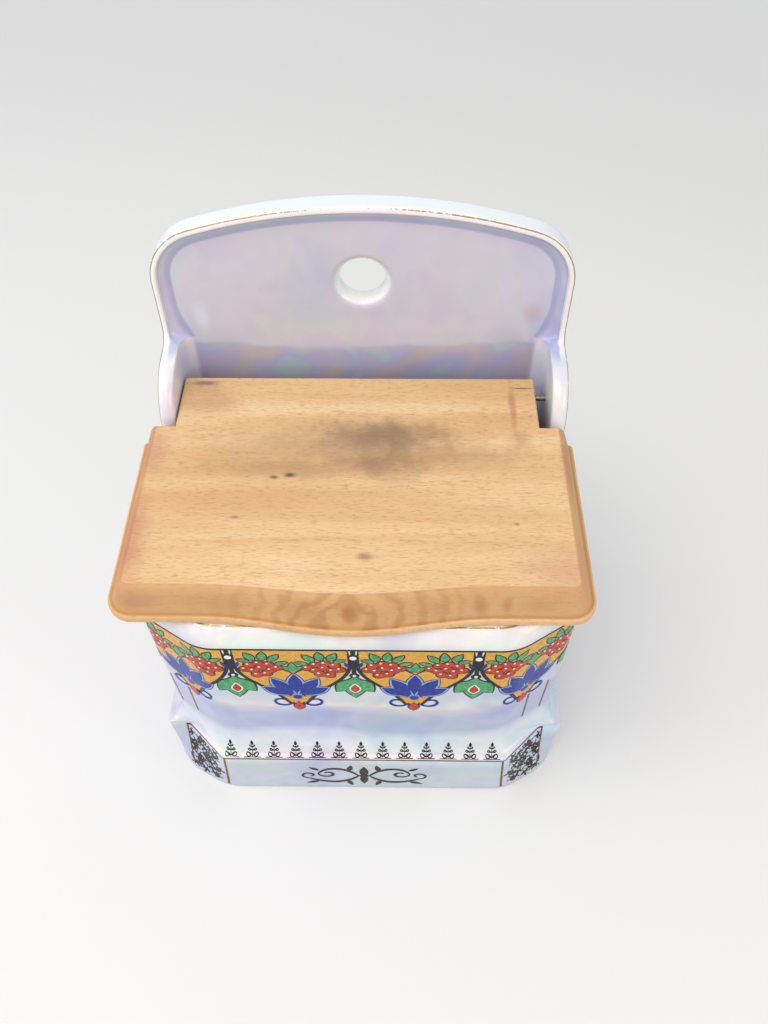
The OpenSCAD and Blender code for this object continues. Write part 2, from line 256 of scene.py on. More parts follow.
def edge_section(depth, z):
    """Section of rim or cheek from back to panel, as distance in from the edge and distance forward."""
    k, lip, drop = front_edge(depth)
    inner, inner_v = mix(RIM_IN_U, WALL, k), depth - mix(RIM_IN_V, NOSE, k)
    j = eased((COVE_BLEND_TOP - z) / (COVE_BLEND_TOP - COVE_BLEND_END))
    cove_v = min(inner_v - 0.1, mix(RIM_D - 0.4, PANEL_T + COVE_RUN, j))
    cove_u = mix(COVE_W, WALL + COVE_RUN, j)
    points = soft_corner(Vector((RIM_D, 0)), Vector((0, 0)), Vector((0, RIM_D)), BACK_EDGE, 6)
    points += [Vector((0, mix(BACK_EDGE, depth - drop, i / 4))) for i in range(1, 4)]
    points.append(Vector((0, depth - drop)))
    points += [Vector((lip * c, depth - drop * (1 - s))) for s, c in quarter(6)]
    for s, c in quarter(6):
        points.append(Vector((lip + (inner - lip) * s, inner_v + (depth - inner_v) * (1 - c))))
    for s, c in [(0, 0), *quarter(12)]:
        points.append(Vector((inner + (cove_u - inner) * c, PANEL_T + (cove_v - PANEL_T) * (1 - s))))
    return points


def swept(stations, section):
    """Rows of points of a section carried along the edge, right half and its mirror image."""
    rows = []
    for (x, z), (ix, iz), depth in stations:
        rows.append([Vector((x + ix * q.x, -q.y, z + iz * q.x)) for q in section(depth, z)])
    mirrored = [[Vector((-p.x, p.y, p.z)) for p in row] for row in reversed(rows[:-1])]
    return rows + mirrored


upstand = skin("upstand", swept(edge_stations(), edge_section), closed=False)


def circle(steps):
    """Cosine and sine of the angles of a whole turn."""
    angles = [2 * math.pi * i / steps for i in range(steps)]
    return [(math.cos(a), math.sin(a)) for a in angles]


def lathe(name, profile, centre, turn, steps=96):
    """A turned shape: profile as radius and height, about an axis that a matrix turns into place."""
    rows = []
    for radius, height in profile:
        rows.append([centre + turn @ Vector((radius * c, radius * s, height)) for c, s in circle(steps)])
    return skin(name, rows)


# The hanging hole, flared at the front, and the bore for both pins. The cutters reach past the casting.
flare = [(HOLE_R + HOLE_FLARE * c, PANEL_T - HOLE_FLARE * (1 - s)) for s, c in [(0, 0), *quarter(10)]]
to_front = Matrix.Rotation(math.radians(90), 3, "X")
hole = lathe("hole", [(HOLE_R, -3), *flare, (HOLE_R + HOLE_FLARE, 20)], Vector((0, 0, HOLE_Z)), to_front)
to_side = Matrix.Rotation(math.radians(90), 3, "Y")
pin_bore = lathe("pin_bore", [(PIN_HOLE_R, -90), (PIN_HOLE_R, 90)], Vector((0, -PIN_Y, PIN_Z)), to_side, 32)


def cast_together(base, cuts, joined):
    """One casting from its two skins, with its holes cut through."""
    for other, operation in [(joined, "UNION"), *((cut, "DIFFERENCE") for cut in cuts)]:
        step = base.modifiers.new(operation.lower(), "BOOLEAN")
        step.operation = operation
        step.solver = "MANIFOLD"
        step.object = other
    made = evaluated(base)
    base.modifiers.clear()
    base.data = made
    for other in (joined, *cuts):
        bpy.data.objects.remove(other)


cast_together(well, [hole, pin_bore], upstand)
well.name = "earthenware_casting"


def smooth(piece, angle=35):
    """Smooth shading that keeps edges sharper than an angle."""
    for face in piece.data.polygons:
        face.use_smooth = True
    piece.data.set_sharp_from_angle(angle=math.radians(angle))


smooth(well)


def srgb(code):
    """A colour written as sRGB hex, in the linear values that a shader takes."""
    parts = [int(code[i : i + 2], 16) / 255 for i in (1, 3, 5)]
    return (*[p / 12.92 if p <= 0.04045 else ((p + 0.055) / 1.055) ** 2.4 for p in parts], 1)


def feed(tree, made, inputs):
    """Fills a node's inputs, each with a value or with another node's output."""
    for key, value in inputs.items():
        if isinstance(value, bpy.types.NodeSocket):
            tree.links.new(value, made.inputs[key])
        else:
            made.inputs[key].default_value = value


def node(tree, kind, inputs, **settings):
    """Adds a node with its settings and inputs."""
    made = tree.nodes.new(kind)
    for name, value in settings.items():
        setattr(made, name, value)
    feed(tree, made, inputs)
    return made


def calc(tree, operation, *values):
    """The result of one step of arithmetic."""
    return node(tree, "ShaderNodeMath", dict(enumerate(values)), operation=operation).outputs[0]


def span(tree, value, start, end, low=0, high=1, **settings):
    """A value mapped from start and end to low and high."""
    inputs = {"Value": value, "From Min": start, "From Max": end, "To Min": low, "To Max": high}
    return node(tree, "ShaderNodeMapRange", inputs, **settings).outputs[0]


def noise(tree, place, scale, detail=2, roughness=0.5, distortion=0):
    """Noise from 0 to 1, with its scale per metre."""
    inputs = {"Scale": scale, "Detail": detail, "Roughness": roughness, "Distortion": distortion}
    return node(tree, "ShaderNodeTexNoise", {"Vector": place, **inputs}).outputs["Fac"]


def ramp(tree, value, stops):
    """Colours given for places from 0 to 1, looked up by a value."""
    made = node(tree, "ShaderNodeValToRGB", {"Fac": value})
    elements = made.color_ramp.elements
    while len(elements) < len(stops):
        elements.new(1)
    for element, (at, colour) in zip(elements, stops):
        element.position = at
        element.color = srgb(colour)
    return made.outputs["Color"]


def blend(tree, share, one, other, mode="MIX"):
    """Two colours mixed; each is a hex code or another node's output."""
    one, other = (srgb(c) if isinstance(c, str) else c for c in (one, other))
    # A Mix node's two colours are its inputs 6 and 7, and the mixed colour is its output 2.
    settings = {"data_type": "RGBA", "blend_type": mode}
    return node(tree, "ShaderNodeMix", {0: share, 6: one, 7: other}, **settings).outputs[2]


def bumped(tree, height, strength, depth, invert=False):
    """The normal over fine relief, with its depth in metres."""
    inputs = {"Height": height, "Strength": strength, "Distance": depth}
    return node(tree, "ShaderNodeBump", inputs, invert=invert).outputs["Normal"]


def new_finish(name):
    """An empty material with its surface shader, and the piece's own coordinates in metres."""
    finish = bpy.data.materials.new(name)
    finish.use_nodes = True
    tree = finish.node_tree
    place = node(tree, "ShaderNodeTexCoord", {}).outputs["Object"]
    return finish, tree, tree.nodes["Principled BSDF"], place


def stained(tree, place, smear, under, centre, reach, tone, strength):
    """A colour with one soft, ragged patch over it; centre and reach are in the piece's own millimetres."""
    middle, shares = tuple(c * MM for c in centre), tuple(1 / (r * MM) for r in reach)
    away = node(tree, "ShaderNodeVectorMath", {0: place, 1: middle}, operation="SUBTRACT").outputs[0]
    scaled = node(tree, "ShaderNodeVectorMath", {0: away, 1: shares}, operation="MULTIPLY").outputs[0]
    far = node(tree, "ShaderNodeVectorMath", {0: scaled}, operation="LENGTH").outputs["Value"]
    uneven = calc(tree, "MULTIPLY_ADD", smear, 0.9, far)
    mask = span(tree, uneven, 1.5, 0.55, 0, strength, interpolation_type="SMOOTHSTEP")
    return blend(tree, mask, under, tone)


# Mother-of-pearl lustre over a white tin glaze: a film far thinner than the glaze, so it gives broad pastel
# clouds of lavender, pink and green about 20 to 50 mm wide, a high shine and hardly any relief.
RIM_W, RIM_LUSTRE = 2.2, 0.3
pearl, tree, shader, place = new_finish("pearl lustre glaze on earthenware")
clouds = noise(tree, place, 21, 3, 0.45, 0.35)
cloud_hues = [
    (0.3, "#C4C9EA"), (0.39, "#DDD9F1"), (0.46, "#F3F0F4"), (0.52, "#F5E9EE"),
    (0.57, "#F3F1E8"), (0.62, "#E4EEE9"), (0.7, "#CEDCEF"),
]
veils = noise(tree, place, 58, 2, 0.5, 0.5)
veil_hues = [(0.34, "#D6CBEA"), (0.5, "#F4F3F5"), (0.68, "#D6E8DC")]
pastel = blend(tree, 0.35, ramp(tree, clouds, cloud_hues), ramp(tree, veils, veil_hues))
# On the panel the film is thinner and greyer; a ragged band low down, just over the lid, is painted bluer and
# darker as painted shade of the lid.
# Its face is picked out by its place, with masks that change over 0.4 mm; the nodes count in metres.
PANEL_Y, SIDE_X = (SHIFT_Y - PANEL_T) * MM, WELL_X * MM
axes = node(tree, "ShaderNodeSeparateXYZ", {"Vector": place}).outputs
not_back = span(tree, axes["Y"], PANEL_Y + 0.0007, PANEL_Y + 0.0003)
not_front = span(tree, axes["Y"], PANEL_Y - 0.0005, PANEL_Y - 0.0001)
panel_depth = calc(tree, "MULTIPLY", not_front, not_back)
between = span(tree, calc(tree, "ABSOLUTE", axes["X"]), SIDE_X - 0.0005, SIDE_X - 0.0009)
zone = node(tree, "ShaderNodeAttribute", {}, attribute_name="glaze_zone").outputs
inside_rim = calc(tree, "MULTIPLY", between, span(tree, zone["Alpha"], RIM_LUSTRE, 1))
on_panel = calc(tree, "MULTIPLY", panel_depth, inside_rim)
ragged_z = calc(tree, "ADD", axes["Z"], span(tree, clouds, 0, 1, -0.012, 0.012))
# Painted shade: a ragged band just over the lid, bluer and darker.
lid_shade_band = calc(tree, "MULTIPLY", span(tree, ragged_z, 0.1335, 0.1315), span(tree, ragged_z, 0.088, 0.108))
lid_shade_hues = [(0.34, "#C6DBE3"), (0.43, "#C1C9EE"), (0.53, "#CDC7E3"), (0.65, "#DACED1")]
panel_tint = blend(tree, on_panel, "#FFFFFF", blend(tree, lid_shade_band, "#DEE1F2", ramp(tree, veils, lid_shade_hues)))
# The plinth is painted greyest as painted shade, the cove over it whitest and the shoulder up to the rim
# white as painted light where they face up, and a lavender cloud with a fringe of pink and yellow lies along
# the lower half of the walls.
wall_hues_and_light = [
    (0.2, "#DCD9E3"), (0.27, "#FAF9FF"), (0.36, "#F2F1FC"), (0.41, "#C6C4E4"), (0.51, "#C8C4E2"),
    (0.55, "#E8D6E6"), (0.575, "#F4F0E4"), (0.62, "#E5E3EC"), (0.9, "#E4E2EB"), (0.97, "#FFFFFF"),
]
# Painted shade on the plinth and painted light on the cove and shoulder, over the lustre's real lavender
# cloud and fringe.
wall_tint_and_light = ramp(tree, span(tree, ragged_z, 0, 0.11), wall_hues_and_light)
tinted = blend(tree, 1, blend(tree, not_back, panel_tint, wall_tint_and_light, "MULTIPLY"), zone["Color"], "MULTIPLY")
filmed = blend(tree, zone["Alpha"], "#FBFAFD", pastel)
calmed = blend(tree, calc(tree, "MULTIPLY", on_panel, 0.55), filmed, "#EFEFF4")
lustred = blend(tree, 1, calmed, tinted, "MULTIPLY")
# Two places near the panel's sides where the film ran while it was wet.
lustred = stained(tree, place, veils, lustred, (-54.5, 48.7, 145.5), (4.2, 3, 7.5), "#DDE6F6", 0.8)
lustred = stained(tree, place, veils, lustred, (56.8, 48.7, 147), (5.4, 3, 6), "#C0AEBC", 0.5)
# Here and there a fine dark speck shows through from the clay.
specks = node(tree, "ShaderNodeTexVoronoi", {"Vector": place, "Scale": 210}, feature="F1").outputs["Distance"]
rare = span(tree, noise(tree, place, 90), 0.6, 0.66)
speck = calc(tree, "MULTIPLY", span(tree, specks, 0.03, 0.055, 0.55, 0), rare)
look = {
    "Base Color": blend(tree, speck, lustred, "#6B5A4C"),
    "Roughness": span(tree, veils, 0.3, 0.7, 0.1, 0.2),
    "Normal": bumped(tree, noise(tree, place, 150), 0.12, 0.0003),
    "IOR": 1.7,
    "Coat Weight": 0.5,
    "Coat Roughness": 0.04,
    "Thin Film Thickness": 430,
    "Thin Film IOR": 1.45,
}
feed(tree, shader, look)

# The glaze pools in the cove inside the rim, where it is bluer. On the rim itself hardly any lustre is left;
# how much there is goes into the colour's fourth value.
pooled, plain = srgb("#D6DDF8"), srgb("#FFFFFF")[:3]
zones = well.data.color_attributes.new("glaze_zone", "FLOAT_COLOR", "POINT")
for vertex, stored in zip(well.data.vertices, zones.data):
    x, y, z = abs(vertex.co.x / MM), SHIFT_Y - vertex.co.y / MM, vertex.co.z / MM
    inward = WELL_X - x
    if z > CORNER_Z and x > CORNER_X:
        inward = ARCH_CORNER_R - math.hypot(x - CORNER_X, z - CORNER_Z)
    elif z > CORNER_Z:
        inward = ARCH_R - math.hypot(x, z - ARCH_Z)
    above_cheek = z > EAR_R + PIN_Z
    if above_cheek and y > PANEL_T + 0.02 and inward > RIM_W:
        stored.color = pooled
    else:
        stored.color = (*plain, RIM_LUSTRE if above_cheek and inward <= RIM_W else 1)
well.data.materials.clear()
well.data.materials.append(pearl)
for face in well.data.polygons:
    face.material_index = 0
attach(well, "box")
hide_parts("body")


# Transfer decoration
# Ceramic colours printed on film, slid wet on to the glaze and fired. Each stands 0.04 to 0.2 mm proud of the
# pearl, layer over layer. They are opaque, less glossy than the glaze, and have fine black outlines.
well.data.calc_loop_triangles()
triangles = [tuple(t.vertices) for t in well.data.loop_triangles]
casting_surface = BVHTree.FromPolygons([v.co.copy() for v in well.data.vertices], triangles)


def outline_path(corners, soft):
    """The outline of one level from the middle of the front round its right side, with the length so far."""
    half = level(corners, soft, 0)[: 4 * (ROUND_STEPS + 1)]
    points = [Vector((0, half[-1].y)), *[Vector((p.x, p.y)) for p in reversed(half)]]
    lengths = [0]
    for one, two in zip(points, points[1:]):
        lengths.append(lengths[-1] + (two - one).length)
    return points, lengths


def along(path, u):
    """Point and outward direction at a distance u to the right of the middle, or to the left below zero."""
    points, lengths = path
    side, distance = (1 if u >= 0 else -1), abs(u)
    i = max(1, min(bisect_right(lengths, distance), len(lengths) - 1))
    k = (distance - lengths[i - 1]) / max(1e-6, lengths[i] - lengths[i - 1])
    point = mix(points[i - 1], points[i], k)
    run = (points[i] - points[i - 1]).normalized()
    return Vector((side * point.x, point.y)), Vector((side * run.y, -run.x))


# Distance in front of the surface from which a point is dropped on to it.
RAY_START = 9


def laid_on(path, base_z, lean, shift=0):
    """How flat work goes on to the casting: u round the path, and v up a face that leans back by an angle."""
    c, s = math.cos(math.radians(lean)), math.sin(math.radians(lean))

    def place(u, v, lift):
        point, out = along(path, u + shift)
        facing, rise = Vector((out.x * c, out.y * c, s)), Vector((-out.x * s, -out.y * s, c))
        start = placed(Vector((point.x, point.y, base_z)) + rise * v + facing * RAY_START)
        where, normal, _, _ = casting_surface.ray_cast(start, -facing)
        return where + normal * lift * MM

    return place


def petal(u, v, length, width, turn, fullness=0.8):
    """A leaf or petal from its root at u, v: turn is its direction in degrees, 90 upwards."""
    a = math.radians(turn)
    edge = []
    for i in range(9):
        t = i / 8
        edge.append((t * length, width / 2 * math.sin(math.pi * t**fullness)))
    both = edge + [(x, -y) for x, y in reversed(edge[1:-1])]
    return [(u + x * math.cos(a) - y * math.sin(a), v + x * math.sin(a) + y * math.cos(a)) for x, y in both]


def disc(u, v, r, steps=12):
    return [(u + r * c, v + r * s) for c, s in circle(steps)]


def stroke(points, width, taper=0.0):
    """A brush stroke along points, thinner towards its ends by the taper."""
    left, right = [], []
    for i, (u, v) in enumerate(points):
        before, after = points[max(0, i - 1)], points[min(len(points) - 1, i + 1)]
        du, dv = after[0] - before[0], after[1] - before[1]
        size = math.hypot(du, dv) or 1
        half = width / 2 * (1 - taper * abs(2 * i / (len(points) - 1) - 1) ** 2)
        left.append((u - dv / size * half, v + du / size * half))
        right.append((u + dv / size * half, v - du / size * half))
    return right + left[::-1]


def curl(u, v, r0, r1, start, end, steps=16):
    """Points on a scroll: a spiral about u, v from radius r0 to r1 between two angles in degrees."""
    found = []
    for i in range(steps + 1):
        a, r = math.radians(mix(start, end, i / steps)), mix(r0, r1, i / steps)
        found.append((u + r * math.cos(a), v + r * math.sin(a)))
    return found


def bezier(p, q, r, s, steps=12):
    found = []
    for i in range(steps + 1):
        t = i / steps
        weights = [(1 - t) ** 3, 3 * (1 - t) ** 2 * t, 3 * (1 - t) * t**2, t**3]
        found.append(tuple(sum(w * c[k] for w, c in zip(weights, (p, q, r, s))) for k in (0, 1)))
    return found


def area(points):
    return sum(a[0] * b[1] - b[0] * a[1] for a, b in zip(points, points[1:] + points[:1])) / 2


def grown(points, by):
    """The same shape with its edge moved outwards."""
    if area(points) < 0:
        points = points[::-1]
    found = []
    for i, (u, v) in enumerate(points):
        a, b = points[i - 1], points[(i + 1) % len(points)]
        du, dv = b[0] - a[0], b[1] - a[1]
        size = math.hypot(du, dv) or 1
        found.append((u + dv / size * by, v - du / size * by))
    return found


def edged(shapes, by):
    """Each shape with its edge moved outwards, or inwards below zero."""
    return [grown(shape, by) for shape in shapes]


def flipped(shapes):
    """Shapes and their mirror image about u = 0."""
    return shapes + [[(-u, v) for u, v in shape] for shape in shapes]


# Shapes of one sheet lie at seven heights in turn, and every piece of colour is rooted a little in the glaze.
SHEET_STEPS, SHEET_STEP, SHEET_ROOT = 7, 0.004, -0.03


def flat_sheet(name, shapes):
    """The shapes as one flat mesh, in millimetres; where they overlap, the later ones are a little higher."""
    sheet = bmesh.new()
    for i, shape in enumerate(shapes):
        points = shape if area(shape) > 0 else shape[::-1]
        sheet.faces.new([sheet.verts.new((u, v, i % SHEET_STEPS * SHEET_STEP)) for u, v in points])
    sheet.normal_update()
    bmesh.ops.triangulate(sheet, faces=sheet.faces)
    mesh = bpy.data.meshes.new(name)
    sheet.to_mesh(mesh)
    sheet.free()
    return mesh


def repeated(mesh, count, pitch):
    """The print's repeat: the flat sheet set out a number of times, centred, by a Geometry Nodes tree."""
    tree = bpy.data.node_groups.new("print repeat", "GeometryNodeTree")
    for label, kind in (("Print", "Geometry"), ("Count", "Int"), ("Pitch", "Float")):
        tree.interface.new_socket(label, in_out="INPUT", socket_type="NodeSocket" + kind)
    tree.interface.new_socket("Sheet", in_out="OUTPUT", socket_type="NodeSocketGeometry")
    given = node(tree, "NodeGroupInput", {}).outputs
    reach = calc(tree, "MULTIPLY", calc(tree, "SUBTRACT", given["Count"], 1), given["Pitch"])
    start = node(tree, "ShaderNodeCombineXYZ", {"X": calc(tree, "MULTIPLY", reach, -0.5)}).outputs[0]
    step = node(tree, "ShaderNodeCombineXYZ", {"X": given["Pitch"]}).outputs[0]
    line = {"Count": given["Count"], "Start Location": start, "Offset": step}
    places = node(tree, "GeometryNodeMeshLine", line, mode="OFFSET").outputs["Mesh"]
    prints = node(tree, "GeometryNodeInstanceOnPoints", {"Points": places, "Instance": given["Print"]})
    real = node(tree, "GeometryNodeRealizeInstances", {"Geometry": prints.outputs["Instances"]})
    node(tree, "NodeGroupOutput", {"Sheet": real.outputs["Geometry"]})
    holder = put("sheet", mesh)
    modifier = holder.modifiers.new("repeat", "NODES")
    modifier.node_group = tree
    sockets = {item.name: item.identifier for item in tree.interface.items_tree if item.in_out == "INPUT"}
    modifier[sockets["Count"]], modifier[sockets["Pitch"]] = count, float(pitch)
    made = evaluated(holder)
    bpy.data.objects.remove(holder)
    bpy.data.node_groups.remove(tree)
    return made


def fired_on(name, laid, finish, lift, cuts):
    """Closed thin pieces of colour on the casting. laid pairs a flat sheet with the way it is placed."""
    points, faces = [], []
    for mesh, place in laid:
        sheet = bmesh.new()
        sheet.from_mesh(mesh)
        for axis, value in cuts:
            normal = Vector((1, 0, 0) if axis == "u" else (0, 1, 0))
            whole = [*sheet.verts, *sheet.edges, *sheet.faces]
            bmesh.ops.bisect_plane(sheet, geom=whole, plane_co=value * normal, plane_no=normal)
        sheet.verts.index_update()
        first, count = len(points), len(sheet.verts)
        points += [place(v.co.x, v.co.y, lift + v.co.z) for v in sheet.verts]
        points += [place(v.co.x, v.co.y, SHEET_ROOT) for v in sheet.verts]
        for face in sheet.faces:
            corners = [first + v.index for v in face.verts]
            faces += [tuple(corners), tuple(c + count for c in reversed(corners))]
        for edge in sheet.edges:
            if len(edge.link_loops) == 1:
                loop = edge.link_loops[0]
                a, b = first + loop.vert.index, first + loop.link_loop_next.vert.index
                faces.append((b, a, a + count, b + count))
        sheet.free()
        bpy.data.meshes.remove(mesh)
    mesh = bpy.data.meshes.new(name)
    mesh.from_pydata(points, [], faces)
    mesh.materials.append(finish)
    piece = put(name, mesh)
    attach(piece, "box")


def enamel(name, pale, full):
    """A ceramic colour: a little thinner and paler in places, because the film was screen printed."""
    finish, tree, shader, place = new_finish(name)
    hue = ramp(tree, noise(tree, place, 900, 3, 0.6), [(0.34, pale), (0.6, full)])
    feed(tree, shader, {"Base Color": hue, "Roughness": 0.2, "Specular IOR Level": 0.14})
    return finish


black = enamel("black onglaze colour", "#1E1A1A", "#0E0C0E")
sepia = enamel("sepia black onglaze colour", "#3C332F", "#1F1A19")
ochre = enamel("ochre onglaze colour", "#E9B64F", "#D99A36")
cobalt = enamel("cobalt blue onglaze colour", "#123CAA", "#041B84")
ice_blue = enamel("pale blue onglaze colour", "#A9C0E6", "#7F9FD6")
leaf = enamel("chrome green onglaze colour", "#66B882", "#35915A")
iron_red = enamel("iron red onglaze colour", "#D24D28", "#AE2C17")
white = enamel("white onglaze colour", "#F8F6F0", "#F2EFE8")

# One repeat of the frieze, between its own middle and the dividers half a pitch away: a swag of ochre under
# a black line, with a fan of blue petals, two bunches of berries and leaves, and a drop at its point.
SWAG_X, TOP_Z, TIP_Z, FRIEZE_PITCH, SWAGS, OUTLINE = 17.3, 101.4, 65, 38.2, 8, 0.42
FAN_Z, BERRY_R, MIDDLE_LEAF_Z = 70.2, 1.72, 88.4
right = [(SWAG_X, TOP_Z), (SWAG_X, 93.5), *bezier((SWAG_X, 93.5), (SWAG_X, 81), (8, 79.5), (2.2, TIP_Z))]
swag = right + [(-u, v) for u, v in reversed(right)]
swag_edge = [(u, min(v, TOP_Z + 0.5)) for u, v in grown(swag, 1.4)]
fan = []
for turn, length in ((90, 16.5), (60, 15.5), (120, 15.5), (32, 13), (148, 13)):
    fan.append(petal(0, FAN_Z, length, 5.6, turn, 1.25))
bunch = [
    (4.6, 90.4), (7.2, 92.6), (10.2, 93.4), (13.2, 92.2), (14.8, 89.4),
    (6.9, 88.9), (9.8, 90.3), (12.3, 88.6), (8.4, 86.4), (11.4, 85.6),
]
berries = flipped([disc(u, v, BERRY_R) for u, v in bunch])
glints = [disc(side * u - 0.5, v + 0.6, 0.42, 8) for side in (1, -1) for u, v in bunch]
side_leaves = [
    (7, 94.6, 5.6, 2.5, 128), (9, 95.2, 5.6, 2.7, 96), (11.4, 95.2, 5.4, 2.7, 62),
    (13, 94.2, 4, 2, 24), (5, 92.6, 4.2, 2, 158),
]
leaves = flipped([petal(*leaf_shape) for leaf_shape in side_leaves])
for length, width, turn in ((5.6, 2.6, 90), (4.2, 2, 44), (4.2, 2, 136)):
    leaves.append(petal(0, MIDDLE_LEAF_Z, length, width, turn))
low_hook, high_hook = curl(5.4, 66.4, 3.9, 1.2, 190, 480), curl(4.2, 72.8, 3, 1, 245, 20)
hooks = flipped([stroke(low_hook, 0.95, 0.4), stroke(high_hook, 0.8, 0.4)])
tendrils = flipped([stroke(bezier((0.4, 86.6), (2, 88.4), (3, 89.4), (4, 89.4)), 0.5)])
drop = [petal(0, 66.6, 6.8, 3.4, 270, 1.3)]
frieze_unit = {
    "black": [swag_edge, *edged(berries + leaves + drop, OUTLINE)],
    "ochre": [swag],
    "outline": edged(fan + berries + leaves, OUTLINE) + tendrils,
    "ice_blue": edged(fan, 0.1),
    "cobalt": edged(fan, -0.5) + hooks + [disc(0, 69.6, 1.5)],
    "leaf": leaves,
    "iron_red": berries + drop,
    "white": glints,
}

# Under each divider hangs a green leaf of three lobes with a red drop in it.
lobes = [petal(0, 84.5, 15, 7.4, 270, 0.9)]
lobes += [petal(0, 82.5, 10.5, 6, turn, 0.9) for turn in (235, 305)]
seed = [petal(0, 79.5, 6, 3, 270, 1.3)]
stalk = [stroke([(0, TOP_Z), (0, 83)], 1.5), disc(0, 97, 2.1), disc(0, 85.2, 1.7)]
pendant_unit = {
    "black": edged(lobes, 0.55) + stalk,
    "leaf": lobes,
    "white": edged(seed, 0.45) + [disc(0, 97, 1.1), disc(0, 85.2, 0.6)],
    "seed": seed,
    "cobalt": flipped([petal(1.4, 90.5, 4.2, 1.5, 70)]),
}
FRIEZE_END = SWAGS / 2 * FRIEZE_PITCH
top_line = {"black": [stroke([(-FRIEZE_END, TOP_Z + 0.4), (FRIEZE_END, TOP_Z + 0.4)], 0.9)]}
frieze_path = outline_path(well_corners(WELL_X, 0, WELL_D, WELL_FLAT), well_soft)
frieze_place = laid_on(frieze_path, 0, 0, -1.4)
# Lines along which a sheet is cut, so that it can bend round the corners and over the cove.
wall_cuts = [("u", side * (40 + 0.8 * i)) for i in range(46) for side in (-1, 1)]


def frieze_sheets(kind):
    """One colour of the frieze all round the wall."""
    laid = []
    for unit, count in ((frieze_unit, SWAGS), (pendant_unit, SWAGS - 1), (top_line, 1)):
        if kind in unit:
            laid.append((repeated(flat_sheet(kind, unit[kind]), count, FRIEZE_PITCH), frieze_place))
    return laid


# Each colour with its height over the glaze in millimetres, from the ground up.
for name, kind, finish, lift in (
    ("frieze_black", "black", black, 0.04),
    ("frieze_ochre_ground", "ochre", ochre, 0.07),
    ("frieze_outlines", "outline", black, 0.1),
    ("frieze_pale_petals", "ice_blue", ice_blue, 0.13),
    ("frieze_cobalt", "cobalt", cobalt, 0.16),
    ("frieze_leaves", "leaf", leaf, 0.13),
    ("frieze_berries", "iron_red", iron_red, 0.13),
    ("frieze_whites", "white", white, 0.17),
    ("frieze_seeds", "seed", iron_red, 0.2),
):
    fired_on(name, frieze_sheets(kind), finish, lift, wall_cuts)

# Thirteen small stepped sprigs stand in a row on the cove, and each corner panel of the plinth is filled
# with leafy sprays. In the middle of the plinth is a symmetrical flourish of scrolls and leaves.
SPRIGS, SPRIG_PITCH, FLOURISH_V = 13, 7.93, 10.6
SPRAY_U, SPRAY_V, SPRAY_STEP_U, SPRAY_STEP_V = PLINTH_FLAT + 4.4, 5, 3.1, 3.4
plinth_path = outline_path(plinth_corners(0, 0, 1), top_soft)
plinth_place = laid_on(plinth_path, 0, 0)
cove_place = laid_on(plinth_path, PLINTH_H - 0.2, 35, -0.8)
low_cuts = [("u", side * (46 + 0.9 * i)) for i in range(34) for side in (-1, 1)]
low_cuts += [("v", i) for i in range(1, 27)]
cove_cuts = [("v", 0.5 * i) for i in range(1, 16)]
sprig = [stroke([(0, 0), (0, 7)], 0.42, 0.5), petal(0, 4.9, 2.6, 1.1, 90)]
sprig.append(stroke([(-3.1, 0.1), (3.1, 0.1)], 0.42, 0.4))
for v, reach in ((0.5, 2.7), (2.3, 1.9), (3.9, 1.1)):
    twig = curl(reach * 0.55, v + 0.75, reach * 0.4, 0.25, -150, 130, 12)
    sprig += flipped([stroke(twig, 0.36), petal(0, v, reach * 0.9, 0.65, 38)])
panel = []
for row in range(6):
    for column in range(5):
        u = SPRAY_U + SPRAY_STEP_U * column + (1.2 if row % 2 else 0)
        v = SPRAY_V + SPRAY_STEP_V * row
        turn = (row * 97 + column * 143) % 360
        du, dv = math.cos(math.radians(turn)), math.sin(math.radians(turn))
        tip = (u + 1.6 * du, v + 1.6 * dv)
        panel.append(stroke([(u - 1.5 * du, v - 1.5 * dv), (u, v), tip], 0.42))
        panel += [petal(u, v, 2.5, 1.1, turn + side) for side in (52, -52)]
        panel += [petal(*tip, 1.8, 1, turn), disc(*tip, 0.5, 8), disc(u - 1.9 * dv, v + 1.9 * du, 0.45, 8)]
swirl = [
    stroke(bezier((1.5, FLOURISH_V), (5, 17.5), (10.5, 17.5), (12.6, 12.6)), 1.3, 0.6),
    stroke(curl(10.2, 12, 2.6, 0.8, 15, -330), 0.9, 0.5),
    stroke(bezier((1.5, FLOURISH_V), (5, 4.5), (10, 4.2), (15.6, 8.6)), 1.3, 0.6),
    stroke(curl(15.2, 10.8, 2.4, 0.7, -80, 250), 0.8, 0.5),
    petal(4.2, 14.4, 4.4, 1.7, 100),
    petal(4.6, 6.6, 4, 1.5, 250),
    petal(12.6, 6.2, 4.2, 1.5, -25),
    petal(12.4, 14.6, 3.6, 1.4, 40),
]
flourish = flipped(swirl) + [petal(0, FLOURISH_V, 7.2, 2.6, 90), petal(0, FLOURISH_V, 6.4, 2.4, 270)]
flourish.append(disc(0, FLOURISH_V, 1.3))
flourish = [[(1.35 * u, mix(FLOURISH_V, v, 1.12) + 1) for u, v in shape] for shape in flourish]
sprigs = repeated(flat_sheet("sprig", sprig), SPRIGS, SPRIG_PITCH)
fired_on("cove_sprigs", [(sprigs, cove_place)], sepia, 0.05, cove_cuts)
sheets = flat_sheet("panel", flipped(panel)), flat_sheet("flourish", flourish)
scrolls = [(sheet, plinth_place) for sheet in sheets]
fired_on("plinth_scrolls", scrolls, sepia, 0.08, low_cuts)

